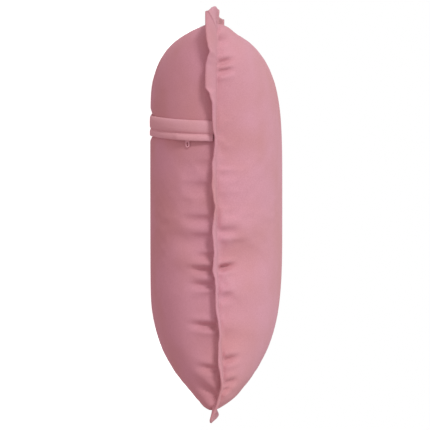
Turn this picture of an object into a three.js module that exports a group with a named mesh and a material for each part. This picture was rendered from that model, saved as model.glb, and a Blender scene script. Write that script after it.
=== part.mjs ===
// Knife-edge back cushion in plush cloth, lying on its back.
// Units are millimetres. X runs across the cushion, Y from its bottom edge to its top edge, and Z from
// the back panel, which lies on the surface at Z = 0, to the front panel. The origin is the middle of
// the footprint. Photographed edge: the one at -X, called "near" below.
import * as THREE from "three";
import { mergeVertices } from "three/addons/utils/BufferGeometryUtils.js";

// Main sizes of the filled body, measured at the seam.
const body = {
  halfWidth: 268, // middle to side seam, at the corners
  sideDraw: 16, // how far each side is drawn in halfway up
  topReach: 264, // middle to the top seam
  topDraw: 7,
  bottomReach: 264, // middle to the bottom seam, less what its corners and its middle are drawn in
  bottomDraw: 16,
  lineSag: 12, // how much lower a level line of the cloth runs at the sides
  seamHeight: 90, // of the seam over the surface
  frontRise: 91, // of the crown over the seam
  backRise: 93, // a little more than seamHeight: the rest is pressed flat
  pressSoftness: 2, // how gently the pressed patch begins
};

// Corner rounding of the seam: full and round at the top, pointed at the bottom. The cloth outside it
// keeps its square corner: ear is how far that follows the corner as it was before rounding.
const corners = {
  top: { amount: 0.066, power: 7, ear: 0.6 },
  bottom: { amount: 0.044, power: 10, ear: 0 },
};

// Profiles rise from the seam as (1 - t ^ flat) ^ blunt, where t is 0 in the middle and 1 at the seam.
const profiles = {
  across: { flat: 3.55, blunt: 0.51 },
  front: { top: { flat: 4.84, blunt: 0.64 }, bottom: { flat: 3.82, blunt: 0.7 } },
  back: { top: { flat: 6.27, blunt: 0.56 }, bottom: { flat: 4.04, blunt: 0.625 } },
};

// Flange: the two panels' own edges, sewn together 20 mm inside the cut.
const flange = {
  width: 19.5,
  thickness: 3.2,
  stitchThickness: 2,
  cutWave: 1.2, // how uneven the cut edge is
  bottomTrim: 2.5, // how much narrower it is cut along the bottom
  farCornerLean: 14, // of the far top corner, to the front
  nearCornerLean: -4, // of the near bottom corner, to the back
};

// Zip flap: a doubled strip across the back panel that hides the zip.
const flap = {
  topLine: 138.5, // its sewn edge, above the middle
  height: 27,
  thickness: 3.1,
  edgeThickness: 1.5,
  grooveAt: 0.66, // row of topstitching, as a share of the height from the top
  grooveDepth: 1.3,
  clearance: 0.4,
  pressMargin: 10, // how far round it the panel is pressed in
  lift: 2.6, // where it bridges the zip pull
  liftedFrom: 0.8, // share of the height where it is fully lifted
};

// Zip pull: a flat tab with an oblong eye, its head tucked under the flap.
const pull = {
  width: 6.4,
  length: 14,
  thickness: 1.6,
  eyeWidth: 3,
  eyeLength: 5.4,
  rim: 1.6, // from the eye to the rounded end
  below: 9.5, // how much of it hangs below the flap
  p: -0.955, // place across the panel, from -1 to 1
  clearance: 0.45,
  tilt: 0.05, // radians that it hangs off plumb
};

const mesh = { across: 32, along: 60, lastColumn: 0.9992 };

// How far the free edge of the near flange leans to the front (+) or the back (-), by that edge's height.
const nearLean = [
  { y: 262, lean: -12 },
  { y: 242, lean: -12.4 },
  { y: 223, lean: -7.7 },
  { y: 204, lean: -13.4 },
  { y: 184, lean: -13.5 },
  { y: 165, lean: -7.2 },
  { y: 150, lean: -3.5 },
  { y: 121, lean: -2.3 },
  { y: 105, lean: 0.2 },
  { y: 73, lean: -3.2 },
  { y: 45, lean: -3.6 },
  { y: 16, lean: 0.5 },
  { y: -15, lean: -3.5 },
  { y: -46, lean: -1.1 },
  { y: -68, lean: -3.7 },
  { y: -94, lean: 0.3 },
  { y: -137, lean: -0.4 },
  { y: -168, lean: -2.1 },
  { y: -205, lean: -1.4 },
  { y: -232, lean: -0.9 },
  { y: -252, lean: -4 },
];

// The same along the top flange, from the near corner to the far one, and how much wider it is cut.
const topEdge = [
  { x: -262, lean: -12, extra: 0 },
  { x: -238, lean: -11, extra: 0 },
  { x: -200, lean: -5, extra: 2 },
  { x: -150, lean: 1, extra: 4 },
  { x: -110, lean: 3, extra: 4 },
  { x: -60, lean: 1, extra: 4 },
  { x: -10, lean: -4, extra: 6 },
  { x: 40, lean: -1, extra: 7 },
  { x: 95, lean: 2, extra: 8 },
  { x: 150, lean: 2, extra: 3 },
  { x: 215, lean: 7, extra: -1 },
  { x: 262, lean: 14, extra: -1 },
];

// How the near seam wanders off its plane, from top to bottom.
const nearDrift = [
  { y: 265, shift: 0 },
  { y: 120, shift: -0.7 },
  { y: 0, shift: -0.5 },
  { y: -100, shift: 1.2 },
  { y: -160, shift: 5.5 },
  { y: -215, shift: 8 },
  { y: -238, shift: 5 },
  { y: -256, shift: -4.5 },
];

// Main puckers and broad hollows of the near edge. at: height of the pucker; reach: how far it runs up
// the panel from the seam; slant: how much it climbs on the way.
const nearFolds = [
  { panel: "front", at: 238, reach: 24, depth: 5, width: 6, slant: 0 },
  { panel: "front", at: 226, reach: 44, depth: 4, width: 15, slant: 4 },
  { panel: "front", at: 205, reach: 28, depth: 6.5, width: 4.5, slant: 6 },
  { panel: "front", at: 194, reach: 28, depth: 6, width: 4.5, slant: 5 },
  { panel: "front", at: 85, reach: 60, depth: 1.8, width: 22, slant: 0 },
  { panel: "front", at: -18, reach: 34, depth: 3.2, width: 5.5, slant: 2 },
  { panel: "front", at: -54, reach: 80, depth: 6, width: 24, slant: 0 },
  { panel: "front", at: -67, reach: 34, depth: 8.5, width: 3.8, slant: 5 },
  { panel: "front", at: -108, reach: 22, depth: 2.4, width: 5, slant: 4 },
  { panel: "front", at: -160, reach: 40, depth: 2.4, width: 12, slant: 0 },
  { panel: "front", at: -190, reach: 28, depth: 5.5, width: 4.5, slant: 6 },
  { panel: "front", at: -221, reach: 24, depth: 5, width: 4.5, slant: 6 },
  { panel: "front", at: -230, reach: 16, depth: 4.5, width: 3.6, slant: 5 },
  { panel: "back", at: 38, reach: 40, depth: 1.8, width: 9, slant: 0 },
  { panel: "back", at: -4, reach: 50, depth: 3, width: 6.5, slant: 0 },
  { panel: "back", at: -33, reach: 70, depth: 3.8, width: 13, slant: 4 },
  { panel: "back", at: -50, reach: 30, depth: 4, width: 4.2, slant: 0 },
  { panel: "back", at: -70, reach: 40, depth: 5.5, width: 4.4, slant: 2 },
  { panel: "back", at: -89, reach: 42, depth: 4.8, width: 4.2, slant: 0 },
  { panel: "back", at: -143, reach: 46, depth: 6, width: 4.6, slant: 0 },
  { panel: "back", at: -172, reach: 50, depth: 1.8, width: 14, slant: 0 },
  { panel: "back", at: -202, reach: 36, depth: 4.6, width: 4.6, slant: 4 },
  { panel: "back", at: -240, reach: 40, depth: 6.5, width: 7, slant: 24 },
];

// Puckers of an edge that the photograph doesn't show: uneven, a hand's breadth apart.
function plainFolds(edge, count, halfLength, seed) {
  const folds = [];
  for (let i = 0; i < count; i++) {
    const wobble = Math.sin(seed + 2.4 * i);
    folds.push({
      edge,
      panel: i % 2 ? "front" : "back",
      at: halfLength * (((2 * i + 1) / count) - 1) + 10 * wobble,
      reach: 26 + 9 * Math.sin(seed * 2 + 1.7 * i),
      depth: 3 + 1.1 * wobble,
      width: 7,
      slant: 5 * Math.sin(seed + i),
    });
  }
  return folds;
}

const folds = [
  ...nearFolds.map((fold) => ({ edge: "near", ...fold })),
  ...plainFolds("far", 12, 240, 0.6),
  ...plainFolds("top", 10, 225, 1.9),
  ...plainFolds("bottom", 12, 230, 3.1),
];

const clamp = THREE.MathUtils.clamp;
const smooth = THREE.MathUtils.smoothstep;

// Value of a table's column at a place, eased from row to row. The key column runs one way.
function along(table, key, column, place) {
  const rising = table[1][key] > table[0][key] ? 1 : -1;
  for (let i = 1; i < table.length; i++) {
    if ((place - table[i][key]) * rising <= 0 || i === table.length - 1) {
      const from = table[i - 1];
      const to = table[i];
      const share = clamp((place - from[key]) / (to[key] - from[key]), 0, 1);
      return from[column] + (to[column] - from[column]) * smooth(share, 0, 1);
    }
  }
  return 0;
}

// Panel coordinates p (across) and q (up) run from -1 to 1 between the seams.
// outline(p, q) is the point's place in the seam plane; rounding is 1, or 0 for square corners.
function outline(p, q, rounding = 1) {
  const corner = q > 0 ? corners.top : corners.bottom;
  const inward = 1 - rounding * corner.amount * Math.abs(p * q) ** corner.power;
  const reach =
    q > 0
      ? body.topReach - body.topDraw * (1 - p * p)
      : body.bottomReach - body.bottomDraw * (1 - p * p);
  const sag = q > 0 ? body.lineSag * p * p * 4 * q * (1 - q) : 0;
  const x = p * (body.halfWidth - body.sideDraw * (1 - q * q)) * inward;
  return { x, y: q * reach * inward - sag };
}

const profileAt = (t, { flat, blunt }) => (1 - Math.min(1, Math.abs(t)) ** flat) ** blunt;

function riseAt(panel, p, q) {
  const up = profiles[panel][q > 0 ? "top" : "bottom"];
  const crown = panel === "front" ? body.frontRise : body.backRise;
  return crown * profileAt(p, profiles.across) * profileAt(q, up);
}

// Height of the seam plane: it wanders most at the near edge.
function seamHeightAt(p, q) {
  const y = outline(-1, q).y;
  const near = along(nearDrift, "y", "shift", y) * ((1 - p) / 2) ** 6;
  const far = 2.5 * Math.sin(0.6 + y / 62) * ((1 + p) / 2) ** 6;
  const ends = 3 * Math.sin(1 + (p * body.halfWidth) / 70) * Math.abs(q) ** 8 * (1 - p * p);
  return body.seamHeight + near + far + ends;
}

// Row coordinate of a level line of the cloth, given its height in the middle of the panel.
const rowAt = (height) => height / (body.topReach - body.topDraw);

// The surface below presses the back panel flat, and the flap presses it in by its own thickness.
function pressed(z, line) {
  const margin = flap.pressMargin;
  const below = smooth(line, flap.topLine - flap.height - margin, flap.topLine - flap.height);
  const above = 1 - smooth(line, flap.topLine, flap.topLine + margin);
  const level = (flap.thickness + flap.clearance) * below * above;
  const soft = body.pressSoftness;
  const gap = z - level;
  if (gap <= -soft) return level;
  return gap >= soft ? z : level + (gap + soft) ** 2 / (4 * soft);
}

function basePoint(panel, p, q) {
  const { x, y } = outline(p, q);
  const rise = riseAt(panel, p, q) + flange.stitchThickness / 2;
  const sign = panel === "front" ? 1 : -1;
  const z = seamHeightAt(p, q) + sign * rise;
  return new THREE.Vector3(x, y, panel === "back" ? pressed(z, q / rowAt(1)) : z);
}

// Outward normal of a panel, from two small steps on it.
function panelNormal(panel, p, q) {
  const step = 0.004;
  const clip = (t) => clamp(t, -0.9995, 0.9995);
  const ends = [
    [clip(p + step), clip(q)],
    [clip(p - step), clip(q)],
    [clip(p), clip(q + step)],
    [clip(p), clip(q - step)],
  ].map(([a, b]) => basePoint(panel, a, b));
  const acrossStep = ends[0].sub(ends[1]);
  const upStep = ends[2].sub(ends[3]);
  const normal = acrossStep.cross(upStep).normalize();
  return panel === "front" ? normal : normal.negate();
}

// Depth of the puckers at a point of a panel.
function foldDepth(panel, p, q) {
  const { x, y } = outline(p, q);
  const rise = riseAt(panel, p, q);
  const share = { near: smooth(-p, 0.5, 0.8), far: smooth(p, 0.5, 0.8) };
  share.top = smooth(q, 0.6, 0.85);
  share.bottom = smooth(-q, 0.6, 0.85);
  let depth = 0;
  for (const fold of folds) {
    if (fold.panel !== panel || share[fold.edge] === 0) continue;
    const place = fold.edge === "near" || fold.edge === "far" ? y : x;
    const away = (place - fold.at - (fold.slant * rise) / fold.reach) / fold.width;
    const run = smooth(rise, 0, 5) * (1 - smooth(rise, fold.reach * 0.4, fold.reach));
    const ridges = 0.3 * Math.exp(-((Math.abs(away) - 1.9) ** 2));
    depth += fold.depth * run * share[fold.edge] * (Math.exp(-away * away) - ridges);
  }
  return depth;
}

function panelPoint(panel, p, q) {
  const point = basePoint(panel, p, q);
  const depth = foldDepth(panel, p, q);
  if (depth !== 0) point.addScaledVector(panelNormal(panel, p, q), -depth);
  point.z = Math.max(point.z, 0);
  return point;
}

// Cross-section of the flap from its open lower edge to its sewn top edge.
const flapSection = [
  { share: 1, thickness: flap.edgeThickness },
  { share: 0.93, thickness: flap.thickness },
  { share: flap.liftedFrom, thickness: flap.thickness },
  { share: flap.grooveAt + 0.07, thickness: flap.thickness },
  { share: flap.grooveAt, thickness: flap.thickness - flap.grooveDepth },
  { share: flap.grooveAt - 0.07, thickness: flap.thickness },
  { share: 0.1, thickness: flap.thickness },
  { share: 0, thickness: flap.edgeThickness },
];

const flapRows = flapSection.map(({ share }) => rowAt(flap.topLine - flap.height * share));

// Row coordinate of a height on the near seam.
function seamRowAt(height) {
  let [low, high] = [-1, 1];
  for (let i = 0; i < 24; i++) {
    const middle = (low + high) / 2;
    if (outline(-1, middle).y < height) low = middle;
    else high = middle;
  }
  return low;
}

// Sections: closer together towards the seams, with a row on each main pucker of the near edge.
function sections(count) {
  return Array.from({ length: count + 1 }, (_, i) => Math.sin((Math.PI / 2) * ((2 * i) / count - 1)));
}
const columns = sections(mesh.across);
columns.splice(1, 0, -mesh.lastColumn);
columns.splice(-1, 0, mesh.lastColumn);
const rows = sections(mesh.along);
for (const fold of nearFolds.filter(({ depth, width }) => depth >= 2.4 && width < 9)) {
  const q = seamRowAt(fold.at);
  let nearest = 1;
  for (let j = 2; j < mesh.along; j++)
    if (Math.abs(rows[j] - q) < Math.abs(rows[nearest] - q)) nearest = j;
  if (rows[nearest - 1] < q - 0.008 && rows[nearest + 1] > q + 0.008) rows[nearest] = q;
}

// The panels have the flap's rows too, so the two lie on each other.
const clearOfFlap = (q) => q < flapRows[0] - 0.012 || q > flapRows.at(-1) + 0.012;
rows.splice(0, rows.length, ...rows.filter(clearOfFlap), ...flapRows);
rows.sort((a, b) => a - b);

// A surface patch: a grid of points, two triangles to a square.
function addGrid(shape, countU, countV, pointAt, turned = false) {
  const first = shape.positions.length / 3;
  for (let v = 0; v < countV; v++)
    for (let u = 0; u < countU; u++) shape.positions.push(...pointAt(u, v).toArray());
  for (let v = 0; v < countV - 1; v++) {
    for (let u = 0; u < countU - 1; u++) {
      const a = first + v * countU + u;
      const opposite = a + countU + 1;
      const [b, c] = turned ? [a + countU, a + 1] : [a + 1, a + countU];
      shape.index.push(a, b, opposite, a, opposite, c);
    }
  }
}

function closedGeometry(build) {
  const shape = { positions: [], index: [] };
  build(shape);
  const geometry = new THREE.BufferGeometry();
  geometry.setAttribute("position", new THREE.Float32BufferAttribute(shape.positions, 3));
  geometry.setIndex(shape.index);
  const merged = mergeVertices(geometry, 1e-4);
  merged.computeVertexNormals();
  return merged;
}

// Walks once round the seam: near edge down, bottom across, far edge up, top back.
const seamWalk = [
  ...rows.map((q) => ({ edge: "near", p: -1, q })).reverse(),
  ...columns.slice(1).map((p) => ({ edge: "bottom", p, q: -1 })),
  ...rows.slice(1).map((q) => ({ edge: "far", p: 1, q })),
  ...columns.slice(0, -1).reverse().map((p) => ({ edge: "top", p, q: 1 })),
];

function leanAt({ edge, p, q }) {
  const { x, y } = outline(p, q);
  if (edge === "near") return along(nearLean, "y", "lean", y + flangeReach({ edge, p, q }).y);
  if (edge === "top") return along(topEdge, "x", "lean", x);
  const place = edge === "far" ? y : x;
  const wave = 4.5 * Math.sin(place / 34 + 0.8) + 2 * Math.sin(place / 15);
  if (edge === "far") return wave + (flange.farCornerLean - wave) * smooth(y, 200, 245);
  return wave + (flange.nearCornerLean - wave) * smooth(-x, 165, 235);
}

// From the stitching to the free edge, if the flange stood flat in the seam plane.
function flangeReach({ edge, p, q }) {
  const seam = outline(p, q);
  const square = outline(p, q, 0);
  const ear = q > 0 ? corners.top.ear : corners.bottom.ear;
  const trim = flange.bottomTrim * smooth(-seam.y, 200, 245);
  const extra = edge === "top" ? along(topEdge, "x", "extra", seam.x) : -trim;
  const width = flange.width + extra + flange.cutWave * Math.sin(seam.x / 23 + seam.y / 31);
  const across = Math.sign(p) * width * Math.abs(p) ** 8 + ear * (square.x - seam.x);
  const up = Math.sign(q) * width * Math.abs(q) ** 8 + ear * (square.y - seam.y);
  return new THREE.Vector3(across, up, 0);
}

// The flange at one place of the seam: share is 0 at the stitching and 1 at the free edge.
function flangePoint(step, share, side) {
  const here = seamWalk[step];
  const { x, y } = outline(here.p, here.q);
  const seam = new THREE.Vector3(x, y, seamHeightAt(here.p, here.q));
  const outward = flangeReach(here);
  const width = outward.length();
  outward.normalize();
  const lean = leanAt(here);
  const reach = Math.sqrt(width * width - lean * lean);
  const bend = share ** 1.3;
  const point = seam.addScaledVector(outward, reach * share);
  point.z += lean * bend;
  if (side === 0) return point;
  const half = (share === 0 ? flange.stitchThickness : flange.thickness) / 2;
  const tilt = share === 0 ? 0 : lean / width;
  point.addScaledVector(outward, -side * half * tilt);
  point.z += side * half * Math.sqrt(1 - tilt * tilt);
  return point;
}

const flangeSection = [
  { share: 0, side: 1 },
  { share: 0.16, side: 1 },
  { share: 0.92, side: 1 },
  { share: 1, side: 0 },
  { share: 0.92, side: -1 },
  { share: 0.16, side: -1 },
  { share: 0, side: -1 },
];

function cushionGeometry() {
  return closedGeometry((shape) => {
    const grid = (panel) => (i, j) => panelPoint(panel, columns[i], rows[j]);
    addGrid(shape, columns.length, rows.length, grid("front"));
    addGrid(shape, columns.length, rows.length, grid("back"), true);
    const section = (i, k) =>
      flangePoint(i % (seamWalk.length - 1), flangeSection[k].share, flangeSection[k].side);
    addGrid(shape, seamWalk.length, flangeSection.length, section, true);
  });
}

const flapColumns = columns.slice(1, -1);

function flapPoint(i, k, outer) {
  const p = flapColumns[i];
  const { share, thickness } = flapSection[k];
  const q = flapRows[k];
  const point = panelPoint("back", p, q);
  const open = smooth(share, flap.grooveAt, flap.liftedFrom);
  const bridge = flap.lift * open * (1 - smooth(Math.abs(p - pull.p), 0.03, 0.07));
  const offset = flap.clearance + bridge + (outer ? thickness : 0);
  point.addScaledVector(panelNormal("back", p, q), offset);
  point.z = Math.max(point.z, 0);
  return point;
}

// A sheet with an outer and an inner face and its four rims.
function flapGeometry() {
  const across = flapColumns.length;
  const down = flapSection.length;
  return closedGeometry((shape) => {
    addGrid(shape, across, down, (i, k) => flapPoint(i, k, true), true);
    addGrid(shape, across, down, (i, k) => flapPoint(i, k, false));
    for (const [k, turned] of [[0, false], [down - 1, true]])
      addGrid(shape, across, 2, (i, side) => flapPoint(i, k, side === 0), turned);
    for (const [i, turned] of [[0, true], [across - 1, false]])
      addGrid(shape, down, 2, (k, side) => flapPoint(i, k, side === 0), turned);
  });
}

function pullGeometry() {
  const half = pull.width / 2;
  const tab = new THREE.Shape();
  tab.moveTo(-half, pull.length);
  tab.lineTo(-half, half);
  tab.absarc(0, half, half, Math.PI, 2 * Math.PI, false);
  tab.lineTo(half, pull.length);
  tab.closePath();
  const eye = new THREE.Path();
  const eyeHalf = pull.eyeWidth / 2;
  const low = pull.rim + eyeHalf;
  const high = pull.rim + pull.eyeLength - eyeHalf;
  eye.absarc(0, low, eyeHalf, Math.PI, 2 * Math.PI, false);
  eye.absarc(0, high, eyeHalf, 0, Math.PI, false);
  eye.closePath();
  tab.holes.push(eye);
  return new THREE.ExtrudeGeometry(tab, {
    depth: pull.thickness,
    bevelEnabled: false,
    curveSegments: 10,
  });
}

// The pull lies against the back panel: its foot is a set drop below the flap's lower edge.
function placePull(piece) {
  const q = rowAt(flap.topLine - flap.height - pull.below);
  const foot = basePoint("back", pull.p, q);
  const outward = panelNormal("back", pull.p, q);
  const up = basePoint("back", pull.p, rowAt(flap.topLine - flap.height)).sub(foot).normalize();
  const sideways = up.clone().cross(outward).normalize();
  const plumb = outward.clone().cross(sideways);
  const turn = new THREE.Matrix4().makeBasis(sideways, plumb, outward);
  piece.quaternion.setFromRotationMatrix(turn);
  piece.rotateZ(pull.tilt);
  piece.position.copy(foot).addScaledVector(outward, pull.clearance);
}

const plush = new THREE.MeshStandardMaterial({ color: 0xc98690, roughness: 0.95 });
const rosePaint = new THREE.MeshStandardMaterial({ color: 0xb9747f, roughness: 0.4, metalness: 0.3 });

function piece(name, geometry, material) {
  const made = new THREE.Mesh(geometry, material);
  made.name = name;
  return made;
}

const cushion = new THREE.Group();
cushion.add(piece("cushion", cushionGeometry(), plush));
cushion.add(piece("zip_flap", flapGeometry(), plush));
const zipPull = piece("zip_pull", pullGeometry(), rosePaint);
placePull(zipPull);
cushion.add(zipPull);

// Centres the footprint on the origin.
const footprint = new THREE.Box3().setFromObject(cushion, true).getCenter(new THREE.Vector3());
cushion.position.set(-footprint.x, -footprint.y, 0);

const part = new THREE.Group();
part.add(cushion);
export default part;
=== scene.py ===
# A plush back cushion with a self flange and a zip flap, lying on its back.
# Shapes are worked out in millimetres from the middle of the cushion, and meshes are made in metres.
import math

import bpy
import numpy as np
from mathutils import Matrix, Vector


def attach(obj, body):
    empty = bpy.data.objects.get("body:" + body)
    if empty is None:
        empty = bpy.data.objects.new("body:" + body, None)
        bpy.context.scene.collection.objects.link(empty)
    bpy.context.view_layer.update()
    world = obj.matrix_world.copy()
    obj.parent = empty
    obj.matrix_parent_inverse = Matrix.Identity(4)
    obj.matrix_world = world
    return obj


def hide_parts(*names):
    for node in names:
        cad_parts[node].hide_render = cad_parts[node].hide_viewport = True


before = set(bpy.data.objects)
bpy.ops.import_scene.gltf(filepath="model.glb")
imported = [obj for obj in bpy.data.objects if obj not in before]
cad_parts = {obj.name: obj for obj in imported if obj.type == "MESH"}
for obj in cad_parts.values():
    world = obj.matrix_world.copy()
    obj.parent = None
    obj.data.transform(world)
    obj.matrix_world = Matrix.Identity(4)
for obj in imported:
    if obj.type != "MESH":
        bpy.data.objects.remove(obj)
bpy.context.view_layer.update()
bpy.ops.object.select_all(action="DESELECT")
print("frame loaded")

cameraFacts = {
    "distance": 5.0,
    "elevation": 2.0,  # degrees towards the top edge
    "aim": (0.0, -0.0097, 0.0886),
    "frameWidth": 0.602,  # at the aim point: 1.4 mm to each of 430 pixels
    "sensor": 36.0,
}


def makeCamera(facts):
    data = bpy.data.cameras.new("photoCamera")
    data.sensor_width = facts["sensor"]
    data.lens = facts["sensor"] * facts["distance"] / facts["frameWidth"]
    data.clip_end = 60.0
    tilt = math.radians(facts["elevation"])
    right = Vector((0, 0, 1))  # the cushion's top edge is up in the picture
    up = Vector((math.sin(tilt), math.cos(tilt), 0))
    back = right.cross(up)
    turn = Matrix((right, up, back)).transposed()
    made = bpy.data.objects.new("photoCamera", data)
    place = Vector(facts["aim"]) + back * facts["distance"]
    made.matrix_world = Matrix.Translation(place) @ turn.to_4x4()
    bpy.context.scene.collection.objects.link(made)
    bpy.context.scene.camera = made


makeCamera(cameraFacts)
print("camera placed")

cushionFacts = {
    "centre": (1.01, -5.28),  # puts the middle of the footprint on the origin
    "halfWidth": 268.0,
    "sideDraw": 16.0,
    "topReach": 264.0,
    "topDraw": 7.0,
    "bottomReach": 264.0,
    "bottomDraw": 16.0,
    "lineSag": 12.0,
    "seamHeight": 90.0,
    "topCorner": (0.066, 7),  # how far the seam's corner is rounded off, and how late
    "bottomCorner": (0.044, 10),
    "crown": {"front": 91.0, "back": 93.0},
    # Powers of the crown's section, across the panel and up its top and bottom half.
    "across": (3.55, 0.51),
    "up": {
        "front": {"top": (4.84, 0.64), "bottom": (3.82, 0.7)},
        "back": {"top": (6.27, 0.56), "bottom": (4.04, 0.625)},
    },
    "pressSoftness": 2.0,  # how gently the panel turns up from where it lies flat
    "farWave": {"height": 2.5, "length": 62.0},  # of the seam line
    "endWave": {"height": 3.0, "length": 70.0},
    "columns": 128,
    "rows": 300,
}

flangeFacts = {
    "width": 19.5,
    "thickness": 3.2,
    "stitchThickness": 2.0,
    "topEar": 0.6,  # how far the cloth keeps its square corner outside the rounded seam
    "cutWave": 1.2,  # unevenness of the cut edge
    "bottomTrim": 2.5,
    "cornerFrom": (200, 245),  # height where the trim and the far corner's lean come in
    "farCornerLean": 14.0,
    "nearCornerLean": -4.0,
    "nearCornerFrom": (165, 235),
    "curl": 1.5,  # how late the lean comes in: the cloth stands stiff at its stitching
}

flapFacts = {
    "topLine": 138.5,
    "height": 27.0,
    "thickness": 3.1,
    "grooveAt": 0.66,  # row of topstitching, as a share of the height from the sewn edge
    "grooveDepth": 1.5,
    "clearance": 0.4,
    "pressMargin": 10.0,  # how far round it the panel is pressed in
    "lift": 2.6,  # where it bridges the zip pull
    "liftedFrom": 0.8,
    "farEase": 0.9,  # how much further off the panel its far end stands, over the gathers there
    "columns": 240,
    "flatLength": 0.61,  # metres, before it is sewn on
}

pullFacts = {"p": -0.955, "bevel": 0.35}

# Lean of the near flange's free edge from the seam plane, by that edge's height.
nearLean = {
    "y": [-252, -232, -225, -205, -194, -168, -154, -137, -121, -104, -92, -82, -69, -57, -46, -35,
          -17, 4, 16, 26, 45, 58, 73, 86, 99, 107, 120, 134, 152, 165, 175, 189, 204, 214, 222, 229,
          242, 252],
    "lean": [-4, -0.9, 0.3, -1.4, -3.4, -1.6, 0.2, -0.4, -1.7, -0.9, -0.7, -1.5, -4.6, -3.4, -1.9,
             -2.5, -4, -1.5, 0.3, -2, -4.3, -3.5, -3.9, -1.4, 0.1, 0.1, -2.7, -3.5, -3.8, -7.4, -13.7,
             -13.8, -13.3, -10.8, -7.8, -10.2, -12.5, -13.5],
}
# Lean of the top flange, from the near corner to the far one, and how much wider it is cut.
topEdge = {
    "x": [-262, -238, -200, -150, -110, -60, -10, 40, 95, 150, 215, 262],
    "lean": [-12, -11, -5, 1, 3, 1, -4, -1, 2, 2, 7, 14],
    "extra": [0, 0, 2, 4, 4, 4, 6, 7, 8, 3, -1, -1],
}
nearDrift = {
    "y": [-256, -238, -215, -160, -100, 0, 120, 265],
    "shift": [-4.5, 5, 8, 5.5, 1.2, -0.5, -0.7, 0],
}

# Puckers and broad hollows of the near edge:
# panel, height, reach up the panel, depth, half width, slant.
nearFolds = [
    ("front", 238, 24, 5, 6, 0),
    ("front", 226, 44, 4, 15, 4),
    ("front", 205, 28, 6.5, 4.5, 6),
    ("front", 194, 28, 6, 4.5, 5),
    ("front", 85, 60, 1.8, 22, 0),
    ("front", -18, 34, 3.2, 5.5, 2),
    ("front", -54, 80, 6, 24, 0),
    ("front", -67, 34, 8.5, 3.8, 5),
    ("front", -108, 22, 2.4, 5, 4),
    ("front", -160, 40, 2.4, 12, 0),
    ("front", -190, 28, 5.5, 4.5, 6),
    ("front", -221, 24, 5, 4.5, 6),
    ("front", -230, 16, 4.5, 3.6, 5),
    ("back", 38, 40, 1.8, 9, 0),
    ("back", -4, 50, 3, 6.5, 0),
    ("back", -33, 70, 3.8, 13, 4),
    ("back", -50, 30, 4, 4.2, 0),
    ("back", -70, 40, 5.5, 4.4, 2),
    ("back", -89, 42, 4.8, 4.2, 0),
    ("back", -143, 46, 6, 4.6, 0),
    ("back", -172, 50, 1.8, 14, 0),
    ("back", -202, 36, 4.6, 4.6, 4),
    ("back", -240, 40, 6.5, 7, 24),
]


def smoothStep(value, low, high):
    share = np.clip((value - low) / (high - low), 0, 1)
    return share * share * (3 - 2 * share)


def tableAt(table, key, column, place):
    keys = np.array(table[key], float)
    values = np.array(table[column], float)
    step = np.clip(np.searchsorted(keys, place) - 1, 0, len(keys) - 2)
    share = smoothStep(place, keys[step], keys[step + 1])
    return values[step] + (values[step + 1] - values[step]) * share


# Uneven puckers for an edge that the photograph doesn't show.
def plainFolds(edge, count, halfLength, seed):
    folds = []
    for i in range(count):
        wobble = math.sin(seed + 2.4 * i)
        panel = "front" if i % 2 else "back"
        place = halfLength * ((2 * i + 1) / count - 1) + 10 * wobble
        reach = 26 + 9 * math.sin(seed * 2 + 1.7 * i)
        folds.append((edge, panel, place, reach, 3 + 1.1 * wobble, 7, 5 * math.sin(seed + i)))
    return folds


allFolds = [("near", *fold) for fold in nearFolds]
allFolds += plainFolds("far", 12, 240, 0.6)
allFolds += plainFolds("top", 10, 225, 1.9)
allFolds += plainFolds("bottom", 12, 230, 3.1)


# p runs across the panel and q up it, each from -1 to 1 between the seams.
# A rounding of 0 leaves the corners square.
def outline(p, q, rounding=1):
    f = cushionFacts
    top = q > 0
    amount = np.where(top, f["topCorner"][0], f["bottomCorner"][0])
    power = np.where(top, f["topCorner"][1], f["bottomCorner"][1])
    inward = 1 - rounding * amount * np.abs(p * q) ** power
    middle = 1 - p * p
    topReach = f["topReach"] - f["topDraw"] * middle
    reach = np.where(top, topReach, f["bottomReach"] - f["bottomDraw"] * middle)
    sag = np.where(top, f["lineSag"] * p * p * 4 * q * (1 - q), 0)
    x = p * (f["halfWidth"] - f["sideDraw"] * (1 - q * q)) * inward
    return x, q * reach * inward - sag


def profileAt(t, shape):
    return (1 - np.minimum(1, np.abs(t)) ** shape[0]) ** shape[1]


def riseAt(panel, p, q):
    f = cushionFacts
    up = np.where(q > 0, profileAt(q, f["up"][panel]["top"]), profileAt(q, f["up"][panel]["bottom"]))
    return f["crown"][panel] * profileAt(p, f["across"]) * up


def seamHeightAt(p, q):
    y = outline(-np.ones_like(q), q)[1]
    near = tableAt(nearDrift, "y", "shift", y) * ((1 - p) / 2) ** 6
    f = cushionFacts
    farWave, endWave = f["farWave"], f["endWave"]
    far = farWave["height"] * np.sin(0.6 + y / farWave["length"]) * ((1 + p) / 2) ** 6
    ends = endWave["height"] * np.sin(1 + p * f["halfWidth"] / endWave["length"])
    return f["seamHeight"] + near + far + ends * np.abs(q) ** 8 * (1 - p * p)


# The back panel lies flat on what is below it, and the flap presses it in by its own thickness.
def pressed(z, q):
    line = q * (cushionFacts["topReach"] - cushionFacts["topDraw"])
    top, margin = flapFacts["topLine"], flapFacts["pressMargin"]
    low = top - flapFacts["height"]
    level = smoothStep(line, low - margin, low) * (1 - smoothStep(line, top, top + margin))
    level = level * (flapFacts["thickness"] + flapFacts["clearance"])
    soft = cushionFacts["pressSoftness"]
    gap = z - level
    eased = level + (np.clip(gap, -soft, soft) + soft) ** 2 / (4 * soft)
    return np.where(gap >= soft, z, eased)


def basePoint(panel, p, q):
    x, y = outline(p, q)
    rise = riseAt(panel, p, q) + flangeFacts["stitchThickness"] / 2
    z = seamHeightAt(p, q) + (rise if panel == "front" else -rise)
    if panel == "back":
        z = pressed(z, q)
    return np.stack([x, y, z], -1)


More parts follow.
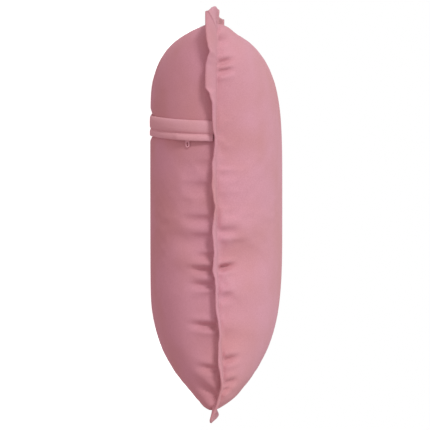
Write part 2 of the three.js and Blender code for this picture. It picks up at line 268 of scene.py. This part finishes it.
def unit(vectors):
    return vectors / np.maximum(np.linalg.norm(vectors, axis=-1, keepdims=True), 1e-9)


# A panel's point just inside the seam, where it still has a slope.
def innerPoint(panel, p, q):
    return basePoint(panel, np.clip(p, -0.9995, 0.9995), np.clip(q, -0.9995, 0.9995))


def panelNormal(panel, p, q):
    step = 0.004
    acrossStep = innerPoint(panel, p + step, q) - innerPoint(panel, p - step, q)
    upStep = innerPoint(panel, p, q + step) - innerPoint(panel, p, q - step)
    normal = unit(np.cross(acrossStep, upStep))
    return normal if panel == "front" else -normal


def foldDepth(panel, p, q):
    x, y = outline(p, q)
    rise = riseAt(panel, p, q)
    share = {"near": smoothStep(-p, 0.5, 0.8), "far": smoothStep(p, 0.5, 0.8)}
    share["top"] = smoothStep(q, 0.6, 0.85)
    share["bottom"] = smoothStep(-q, 0.6, 0.85)
    depth = np.zeros_like(p)
    for edge, side, place, reach, deep, width, slant in allFolds:
        if side != panel:
            continue
        along = y if edge in ("near", "far") else x
        away = (along - place - slant * rise / reach) / width
        run = smoothStep(rise, 0, 5) * (1 - smoothStep(rise, reach * 0.4, reach))
        ridges = 0.3 * np.exp(-((np.abs(away) - 1.9) ** 2))  # cloth pushed up on both sides
        depth += deep * run * share[edge] * (np.exp(-away * away) - ridges)
    return depth


def panelPoint(panel, p, q):
    point = basePoint(panel, p, q) - panelNormal(panel, p, q) * foldDepth(panel, p, q)[..., None]
    point[..., 2] = np.maximum(point[..., 2], 0)
    return point


# Grid places from -1 to 1; a lean of 1 packs them most closely at both ends.
def spread(count, lean):
    even = np.linspace(-1, 1, count + 1)
    return lean * np.sin(even * np.pi / 2) + (1 - lean) * even


columns = spread(cushionFacts["columns"], 1.0)
rows = spread(cushionFacts["rows"], 0.4)

# A row runs along the bottom of each sharp pucker.
seamHeights = outline(-np.ones_like(rows), rows)[1]
for _, place, _, _, foldWidth, _ in nearFolds:
    if foldWidth < 8:
        rows[np.argmin(np.abs(seamHeights - place))] = np.interp(place, seamHeights, rows)


# Once round the seam: near edge down, bottom across, far edge up, top back.
def seamWalk():
    near = [("near", -1.0, q) for q in rows[::-1]]
    bottom = [("bottom", p, -1.0) for p in columns[1:]]
    far = [("far", 1.0, q) for q in rows[1:]]
    top = [("top", p, 1.0) for p in columns[::-1][1:-1]]
    return near + bottom + far + top


def leanAt(edge, x, y):
    if edge == "near":
        return tableAt(nearLean, "y", "lean", y)
    if edge == "top":
        return tableAt(topEdge, "x", "lean", x)
    place = y if edge == "far" else x
    f = flangeFacts
    wave = 4.5 * np.sin(place / 34 + 0.8) + 2 * np.sin(place / 15)
    if edge == "far":
        return wave + (f["farCornerLean"] - wave) * smoothStep(y, *f["cornerFrom"])
    return wave + (f["nearCornerLean"] - wave) * smoothStep(-x, *f["nearCornerFrom"])


# From the stitching to the free edge, if the flange stood flat in the seam plane.
def flangeReach(edge, p, q):
    f = flangeFacts
    x, y = outline(p, q)
    squareX, squareY = outline(p, q, 0)
    ear = f["topEar"] if q > 0 else 0
    trim = f["bottomTrim"] * smoothStep(-y, *f["cornerFrom"])
    extra = tableAt(topEdge, "x", "extra", x) if edge == "top" else -trim
    width = f["width"] + extra + f["cutWave"] * np.sin(x / 23 + y / 31)
    across = np.sign(p) * width * np.abs(p) ** 8 + ear * (squareX - x)
    up = np.sign(q) * width * np.abs(q) ** 8 + ear * (squareY - y)
    return float(across), float(up), 0.0


# The flange's section from the front panel's seam round its free edge to the back panel's:
# share of the width, and side.
flangeSection = [(0.1, 1), (0.35, 1), (0.65, 1), (0.9, 1), (0.985, 0.75), (1.0, 0)]
flangeSection += [(share, -side) for share, side in flangeSection[-2::-1]]


def flangeBand():
    f = flangeFacts
    walk = [(edge, np.float64(p), np.float64(q)) for edge, p, q in seamWalk()]
    p = np.array([step[1] for step in walk])
    q = np.array([step[2] for step in walk])
    x, y = outline(p, q)
    outward = np.array([flangeReach(*step) for step in walk])
    width = np.linalg.norm(outward, axis=1)
    outward = outward / width[:, None]
    seam = np.stack([x, y, seamHeightAt(p, q)], -1)
    freeY = np.where(p == -1, y + outward[:, 1] * width, y)
    lean = np.array([float(leanAt(step[0], a, b)) for step, a, b in zip(walk, x, freeY)])
    reach = np.sqrt(width ** 2 - lean ** 2)
    tilt = lean / width
    band = []
    for share, side in flangeSection:
        half = f["thickness"] / 2 * abs(side)
        point = seam + outward * (reach * share)[:, None]
        point[:, 2] += lean * share ** f["curl"]
        point -= outward * (np.sign(side) * half * tilt)[:, None]
        point[:, 2] += np.sign(side) * half * np.sqrt(1 - tilt ** 2)
        band.append(point)
    return np.stack(band)


def gridFaces(first, countU, countV, turned):
    u, v = np.meshgrid(np.arange(countU - 1), np.arange(countV - 1))
    a = (first + v * countU + u).ravel()
    square = np.stack([a, a + 1, a + countU + 1, a + countU], -1)
    return square[:, ::-1] if turned else square


def footCentre():
    return np.array([*cushionFacts["centre"], 0.0])


def meshObject(name, points, faces):
    mesh = bpy.data.meshes.new(name)
    places = ((points + footCentre()) / 1000).tolist()
    mesh.from_pydata(places, [], [list(map(int, face)) for face in faces])
    mesh.update()
    made = bpy.data.objects.new(name, mesh)
    bpy.context.scene.collection.objects.link(made)
    return made


# The cover is sewn flat and wider than the filled shape, so its cloth gathers along the seams.
# A loose even net of it is pulled in to the seam here while the filling holds it from inside.
clothFacts = {
    "squares": 72,
    "gather": 0.06,  # how much longer the loose cloth is than its seams
    "gatherFrom": 0.4,
    "hold": (0.15, 0.6),  # at the seam and in the middle of a panel
    "holdStiffness": 10.0,
    "frames": 14,
    "pullFrames": 8,
    "quality": 6,
    "mass": 0.05,
    "stiffness": 100.0,
    "shear": 10.0,
    "bending": 3.0,
    "damping": 2.0,
    "bendingDamping": 0.1,
    "cap": 3.4,  # millimetres that a point may move
    "calmCrown": 0.75,  # share of the move taken off where the filling pushes the cloth taut
}


# Places across or up a panel that lie even distances apart along its curve.
def evenPlaces(count, acrossPanel):
    fine = np.linspace(-1, 1, 4001)
    level = np.zeros_like(fine)
    points = basePoint("front", fine, level) if acrossPanel else basePoint("front", level, fine)
    run = np.concatenate([[0], np.cumsum(np.linalg.norm(np.diff(points, axis=0), axis=1))])
    return np.interp(np.linspace(0, run[-1], count + 1), run, fine)


# Both panels as one closed net: the back one shares the front one's seam points.
def clothNet(places):
    p, q = np.meshgrid(*places)
    seam = np.zeros(p.shape, bool)
    seam[[0, -1], :] = True
    seam[:, [0, -1]] = True
    front, back = panelPoint("front", p, q), panelPoint("back", p, q)
    front[seam] = (front[seam] + back[seam]) / 2
    frontIndex = np.arange(p.size).reshape(p.shape)
    backIndex = frontIndex.copy()
    backIndex[~seam] = p.size + np.arange((~seam).sum())
    points = np.concatenate([front.reshape(-1, 3), back[~seam]])
    faces = []
    for grid, turned in ((frontIndex, False), (backIndex, True)):
        square = np.stack([grid[:-1, :-1], grid[:-1, 1:], grid[1:, 1:], grid[1:, :-1]], -1)
        square = square.reshape(-1, 4)
        faces.append(square[:, ::-1] if turned else square)
    flatP = np.concatenate([p.ravel(), p[~seam]])
    flatQ = np.concatenate([q.ravel(), q[~seam]])
    pinned = np.concatenate([seam.ravel(), np.zeros((~seam).sum(), bool)])
    return points, np.concatenate(faces), (frontIndex, backIndex), flatP, flatQ, pinned


# How far cloth is let out along a seam of that half length. None is at the very corners.
def letOut(facts, halfLength, along, towards):
    share = facts["gather"] * smoothStep(np.abs(towards), facts["gatherFrom"], 1)
    return share * halfLength * (along - along ** 5 / 5)


# Sews the loose net in and gives how far each of its points ends from the filled shape.
def runCloth(net, facts):
    points, faces, _, p, q, pinned = net
    wide = points.copy()
    wide[:, 1] += letOut(facts, cushionFacts["topReach"], q, p)
    wide[:, 0] += letOut(facts, cushionFacts["halfWidth"], p, q)
    piece = meshObject("clothNet", wide, faces)
    piece.shape_key_add(name="loose")
    sewn = piece.shape_key_add(name="sewn")
    sewn.data.foreach_set("co", ((points + footCentre()) / 1000).ravel())
    sewn.value = 0
    sewn.keyframe_insert("value", frame=1)
    sewn.value = 1
    sewn.keyframe_insert("value", frame=facts["pullFrames"])
    inward = np.minimum(1 - np.abs(p), 1 - np.abs(q))
    hold = facts["hold"][0] + (facts["hold"][1] - facts["hold"][0]) * smoothStep(inward, 0.1, 0.6)
    group = piece.vertex_groups.new(name="held")
    for i, weight in enumerate(np.where(pinned, 1, hold)):
        group.add([i], float(weight), "REPLACE")
    cloth = piece.modifiers.new("cloth", "CLOTH")
    settings = cloth.settings
    settings.vertex_group_mass = "held"
    settings.pin_stiffness = facts["holdStiffness"]
    settings.quality = facts["quality"]
    settings.mass = facts["mass"]
    settings.tension_stiffness = facts["stiffness"]
    settings.compression_stiffness = facts["stiffness"]
    settings.shear_stiffness = facts["shear"]
    settings.bending_stiffness = facts["bending"]
    settings.tension_damping = facts["damping"]
    settings.compression_damping = facts["damping"]
    settings.shear_damping = facts["damping"]
    settings.bending_damping = facts["bendingDamping"]
    settings.effector_weights.gravity = 0
    cloth.collision_settings.use_collision = False
    cloth.point_cache.frame_start = 1
    cloth.point_cache.frame_end = facts["frames"]
    scene = bpy.context.scene
    for number in range(1, facts["frames"] + 1):
        scene.frame_set(number)
    shaped = piece.evaluated_get(bpy.context.evaluated_depsgraph_get()).to_mesh()
    ended = np.empty(points.size)
    shaped.vertices.foreach_get("co", ended)
    moved = ended.reshape(-1, 3) * 1000 - footCentre() - points
    action = piece.data.shape_keys.animation_data.action
    mesh = piece.data
    bpy.data.objects.remove(piece)
    bpy.data.meshes.remove(mesh)
    bpy.data.actions.remove(action)
    scene.frame_set(1)
    return moved


# Weights that read a row of the net at other places, with a smooth curve through its points.
def curveWeights(places, targets):
    share = np.interp(targets, places, np.arange(len(places)))
    first = np.clip(share.astype(int), 0, len(places) - 2)
    t = share - first
    taps = [
        (2 * t ** 2 - t - t ** 3) / 2,
        (2 - 5 * t ** 2 + 3 * t ** 3) / 2,
        (t + 4 * t ** 2 - 3 * t ** 3) / 2,
        (t ** 3 - t ** 2) / 2,
    ]
    weights = np.zeros((len(targets), len(places)))
    for k, tap in enumerate(taps):
        source = np.clip(first + k - 1, 0, len(places) - 1)
        np.add.at(weights, (np.arange(len(targets)), source), tap)
    return weights


# How the cloth run moves each point of the two panels' grids.
def clothMoves(facts):
    p, q = np.meshgrid(columns, rows)
    places = evenPlaces(facts["squares"], True), evenPlaces(facts["squares"], False)
    net = clothNet(places)
    moved = runCloth(net, facts)
    middle = flapFacts["topLine"] - flapFacts["height"] / 2 - 4
    seat = smoothStep(np.abs(outline(p, q)[1] - middle), 30, 56)  # still under the flap and the pull
    up, across = curveWeights(places[1], rows), curveWeights(places[0], columns)
    moves = []
    for panel, index, calm in zip(("front", "back"), net[2], (1, seat)):
        fine = np.einsum("ai,ijk,bj->abk", up, moved[index], across)
        size = np.linalg.norm(fine, axis=2)
        kept = facts["cap"] * np.tanh(size / facts["cap"]) / np.maximum(size, 1e-6)
        kept = kept * calm * (1 - smoothStep(np.abs(p * q), 0.45, 0.75))
        kept = kept * (1 - facts["calmCrown"] * smoothStep(riseAt(panel, p, q), 22, 55))
        moves.append(fine * kept[..., None])
    return moves


def cushionMesh():
    p, q = np.meshgrid(columns, rows)
    moves = clothMoves(clothFacts)
    front = panelPoint("front", p, q) + moves[0]
    back = panelPoint("back", p, q) + moves[1]
    back[..., 2] = np.maximum(back[..., 2], 0)
    across, along = len(columns), len(rows)
    points = np.concatenate([front.reshape(-1, 3), back.reshape(-1, 3)])
    faces = [gridFaces(0, across, along, False), gridFaces(across * along, across, along, True)]
    seamIndex = [(j, 0) for j in range(along - 1, -1, -1)]
    seamIndex += [(0, i) for i in range(1, across)]
    seamIndex += [(j, across - 1) for j in range(1, along)]
    seamIndex += [(along - 1, i) for i in range(across - 2, 0, -1)]
    ring = np.array([j * across + i for j, i in seamIndex])
    band = flangeBand()
    bodyCount = len(points)
    points = np.concatenate([points, band.reshape(-1, 3)])
    rings = [ring] + [bodyCount + k * len(ring) + np.arange(len(ring)) for k in range(len(band))]
    rings.append(ring + across * along)
    for one, two in zip(rings[:-1], rings[1:]):
        faces.append(np.stack([one, two, np.roll(two, -1), np.roll(one, -1)], -1))
    return meshObject("plushCushion", points, np.concatenate(faces))


cushion = cushionMesh()
cushion.data.shade_smooth()
print("cushion made:", len(cushion.data.polygons), "faces")


# Rows of the flap, from its open lower edge round its outer face to its sewn edge and back.
def flapMesh():
    f = flapFacts
    groove, deep = f["grooveAt"], f["grooveDepth"]
    # Share of the height from the sewn edge, and share of the thickness.
    outer = [(1.0, 0.35), (1.004, 0.8), (0.985, 1.0), (0.94, 1.12), (0.86, 1.15), (0.77, 1.08)]
    outer += [(groove + 0.045, 0.82), (groove + 0.012, 1 - deep / f["thickness"])]
    outer += [(groove - 0.012, 1 - deep / f["thickness"]), (groove - 0.045, 0.82)]
    outer += [(0.55, 1.12), (0.43, 1.25), (0.3, 1.28), (0.18, 1.2), (0.09, 1.0)]
    outer += [(0.035, 0.75), (0.005, 0.4), (0.0, 0.1)]
    inner = [(0.03, 0.0), (0.25, 0.0), (0.5, 0.0), (0.75, 0.0), (0.97, 0.0), (0.995, 0.1)]
    section = outer + inner
    level = cushionFacts["topReach"] - cushionFacts["topDraw"]
    even = np.linspace(-1, 1, f["columns"] + 1)
    p = 0.9999 * np.sin(even * np.pi / 2)
    share = np.array([row[0] for row in section])
    height = np.array([row[1] for row in section])
    q = (f["topLine"] - f["height"] * share) / level
    pp, qq = np.meshgrid(p, q)
    lifted = f["lift"] * smoothStep(share, f["grooveAt"], f["liftedFrom"])[:, None]
    lifted = lifted * (1 - smoothStep(np.abs(p - pullFacts["p"]), 0.03, 0.07))[None, :]
    offset = f["clearance"] + lifted + height[:, None] * f["thickness"]
    offset = offset + f["farEase"] * smoothStep(pp, 0.9, 0.97)
    points = panelPoint("back", pp, qq) + panelNormal("back", pp, qq) * offset[..., None]
    points[..., 2] = np.maximum(points[..., 2], 0)
    count = len(p)
    index = np.arange(len(section) * count).reshape(len(section), count)
    faces = []
    for one, two in zip(index, np.roll(index, -1, axis=0)):
        faces += np.stack([one[:-1], two[:-1], two[1:], one[1:]], -1).tolist()
    faces.append(index[:, 0][::-1].tolist())
    faces.append(index[:, -1].tolist())
    return meshObject("plushZipFlap", points.reshape(-1, 3), faces)


flap = flapMesh()
flap.data.shade_smooth()
print("zip flap made")


# The pull is the frame's own solid with its edges rounded.
def pullMesh():
    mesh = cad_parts["zip_pull"].data.copy()
    made = bpy.data.objects.new("enamelledZipPull", mesh)
    bpy.context.scene.collection.objects.link(made)
    made.data.materials.clear()
    bpy.ops.object.select_all(action="DESELECT")
    made.select_set(True)
    bpy.context.view_layer.objects.active = made
    bpy.ops.object.mode_set(mode="EDIT")
    bpy.ops.mesh.select_all(action="SELECT")
    bpy.ops.mesh.remove_doubles(threshold=0.00001)
    bpy.ops.mesh.dissolve_limited(angle_limit=math.radians(2))
    bpy.ops.object.mode_set(mode="OBJECT")
    rounding = made.modifiers.new("rounding", "BEVEL")
    rounding.width = pullFacts["bevel"] / 1000
    rounding.segments = 3
    rounding.limit_method = "ANGLE"
    rounding.angle_limit = math.radians(40)
    bpy.ops.object.modifier_apply(modifier="rounding")
    bpy.ops.object.shade_smooth_by_angle(angle=math.radians(35))
    return made


pull = pullMesh()
print("zip pull made")


def linear(code):
    channels = [int(code[i : i + 2], 16) / 255 for i in (1, 3, 5)]
    return [c / 12.92 if c <= 0.04045 else ((c + 0.055) / 1.055) ** 2.4 for c in channels] + [1.0]


def addNode(tree, kind, settings=None, inputs=None):
    node = tree.nodes.new(kind)
    for key, value in (settings or {}).items():
        setattr(node, key, value)
    for key, value in (inputs or {}).items():
        if isinstance(value, bpy.types.NodeSocket):
            tree.links.new(value, node.inputs[key])
        else:
            node.inputs[key].default_value = value
    return node


def newMaterial(name):
    made = bpy.data.materials.new(name)
    made.use_nodes = True
    tree = made.node_tree
    tree.nodes.clear()
    shader = addNode(tree, "ShaderNodeBsdfPrincipled")
    addNode(tree, "ShaderNodeOutputMaterial", inputs={"Surface": shader.outputs["BSDF"]})
    return made, tree, shader


# Short polyester plush, knitted and sheared: dull in the hand, with a soft bloom at grazing angles.
plushFacts = {
    "deep": "#B37882",
    "mauve": "#D19AA8",
    "salmon": "#CA9297",
    "sheen": "#FFD9DF",
    "patch": 75.0,  # millimetres across a patch where the pile leans one way
    "patchEnds": (0.36, 0.64),  # how soft the edge of a patch is
    "pile": 1.6,  # millimetres: the real pile is finer, and wouldn't show
}
# A paler copy of the plush for the flap: painted light, standing in for the brighter light that falls
# on the flap's face.
flapLitPlushFacts = {**plushFacts, "deep": "#C08A94", "mauve": "#DEAEBB", "salmon": "#D8A6AC"}


def plushMaterial(name, f):
    made, tree, shader = newMaterial(name)
    place = addNode(tree, "ShaderNodeTexCoord").outputs["Object"]
    broad = {"Vector": place, "Scale": 1000 / f["patch"], "Detail": 2.5, "Roughness": 0.5}
    patches = addNode(tree, "ShaderNodeTexNoise", inputs=broad)
    tint = addNode(tree, "ShaderNodeValToRGB", inputs={"Fac": patches.outputs["Fac"]})
    for stop, position, shade in zip(tint.color_ramp.elements, f["patchEnds"], ("mauve", "salmon")):
        stop.position = position
        stop.color = linear(f[shade])
    fine = {"Vector": place, "Scale": 1000 / f["pile"], "Detail": 2.0, "Roughness": 0.6}
    nap = addNode(tree, "ShaderNodeTexNoise", inputs=fine).outputs["Fac"]
    limits = {"Value": nap, "From Min": 0.3, "From Max": 0.7, "To Min": 0.0, "To Max": 0.35}
    napShare = addNode(tree, "ShaderNodeMapRange", inputs=limits).outputs["Result"]
    blend = {0: napShare, 6: tint.outputs["Color"], 7: linear(f["deep"])}
    colour = addNode(tree, "ShaderNodeMix", {"data_type": "RGBA"}, blend)
    tree.links.new(colour.outputs[2], shader.inputs["Base Color"])
    relief = {"Strength": 0.35, "Distance": 0.0006, "Height": nap}
    bump = addNode(tree, "ShaderNodeBump", inputs=relief)
    tree.links.new(bump.outputs["Normal"], shader.inputs["Normal"])
    shader.inputs["Roughness"].default_value = 0.8
    shader.inputs["Specular IOR Level"].default_value = 0.15
    shader.inputs["Sheen Weight"].default_value = 0.08
    shader.inputs["Sheen Roughness"].default_value = 0.7
    shader.inputs["Sheen Tint"].default_value = linear(f["sheen"])
    return made


# Cast zinc under a satin enamel coat in the cloth's colour: a soft gloss over a slightly uneven skin.
enamelFacts = {"rose": "#D9A3AD", "rippleScale": 900.0}  # ripples of about 1.1 millimetres


def enamelMaterial(f):
    made, tree, shader = newMaterial("satinRoseEnamel")
    place = addNode(tree, "ShaderNodeTexCoord").outputs["Object"]
    coat = {"Vector": place, "Scale": f["rippleScale"], "Detail": 2.0}
    skin = addNode(tree, "ShaderNodeTexNoise", inputs=coat)
    relief = {"Strength": 0.1, "Distance": 0.0001, "Height": skin.outputs["Fac"]}
    bump = addNode(tree, "ShaderNodeBump", inputs=relief)
    tree.links.new(bump.outputs["Normal"], shader.inputs["Normal"])
    shader.inputs["Base Color"].default_value = linear(f["rose"])
    shader.inputs["Roughness"].default_value = 0.38
    shader.inputs["Coat Weight"].default_value = 0.3
    shader.inputs["Coat Roughness"].default_value = 0.2
    return made


cushion.data.materials.append(plushMaterial("rosePlush", plushFacts))
# The flap takes the paler copy, with painted light in its colours.
flap.data.materials.append(plushMaterial("rosePlushPaintedLit", flapLitPlushFacts))
pull.data.materials.append(enamelMaterial(enamelFacts))
print("materials made")

pieces = ((cushion, "cushion", "fabric"), (flap, "zip_flap", "fabric"), (pull, "zip_pull", "pull"))
for pieceMade, node, slotName in pieces:
    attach(pieceMade, "root")
    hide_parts(node)
print("pieces tied to the frame")

# A sun near the top edge over soft light that is warmer and darker from behind the back panel.
studioFacts = {
    "ambient": {
        "below": (0.575, 0.388, 0.413),
        "above": (0.868, 0.866, 0.86),
        "towards": (0, 0.3, 0.95),
    },
    "key": {"from": (-0.75, 0.68, 0.28), "softness": 10.0, "strength": 1.35},
    "floor": "#BCBAB9",
    "floorGlow": 0.95,
    "floorHalf": 15.0,
    "floorDrop": 0.0002,
}


def makeStudio(facts):
    scene = bpy.context.scene
    scene.view_settings.view_transform = "Standard"
    world = bpy.data.worlds.new("studioWorld")
    world.use_nodes = True
    tree = world.node_tree
    ambient = facts["ambient"]
    way = {0: addNode(tree, "ShaderNodeTexCoord").outputs["Generated"], 1: ambient["towards"]}
    along = addNode(tree, "ShaderNodeVectorMath", {"operation": "DOT_PRODUCT"}, way).outputs["Value"]
    limits = {"Value": along, "From Min": -1.0, "From Max": 1.0}
    share = addNode(tree, "ShaderNodeMapRange", inputs=limits).outputs["Result"]
    ends = {0: share, 6: (*ambient["below"], 1), 7: (*ambient["above"], 1)}
    sky = addNode(tree, "ShaderNodeMix", {"data_type": "RGBA"}, ends).outputs[2]
    seen = addNode(tree, "ShaderNodeLightPath").outputs["Is Camera Ray"]
    backdrop = {0: seen, 6: sky, 7: (1, 1, 1, 1)}
    shown = addNode(tree, "ShaderNodeMix", {"data_type": "RGBA"}, backdrop).outputs[2]
    tree.links.new(shown, tree.nodes["Background"].inputs["Color"])
    scene.world = world
    light = bpy.data.lights.new("softKey", "SUN")
    light.angle = math.radians(facts["key"]["softness"])
    light.energy = facts["key"]["strength"]
    lamp = bpy.data.objects.new("softKey", light)
    lamp.location = Vector(facts["key"]["from"]) * 3
    lamp.rotation_euler = (-lamp.location).to_track_quat("-Z", "Y").to_euler()
    scene.collection.objects.link(lamp)
    half = facts["floorHalf"]
    mesh = bpy.data.meshes.new("studioFloor")
    square = ((-half, -half), (half, -half), (half, half), (-half, half))
    corners = [(x, y, -facts["floorDrop"]) for x, y in square]
    mesh.from_pydata(corners, [], [(0, 1, 2, 3)])
    floor = bpy.data.objects.new("studioFloor", mesh)
    scene.collection.objects.link(floor)
    made, tree, shader = newMaterial("matPaintedFloor")
    shader.inputs["Base Color"].default_value = linear(facts["floor"])
    shader.inputs["Roughness"].default_value = 0.9
    shader.inputs["Emission Color"].default_value = (1, 1, 1, 1)
    shader.inputs["Emission Strength"].default_value = facts["floorGlow"]
    mesh.materials.append(made)
    floor.visible_diffuse = False  # so no glare from it lights the cushion from below
    floor.visible_glossy = False


makeStudio(studioFacts)
print("studio lit")
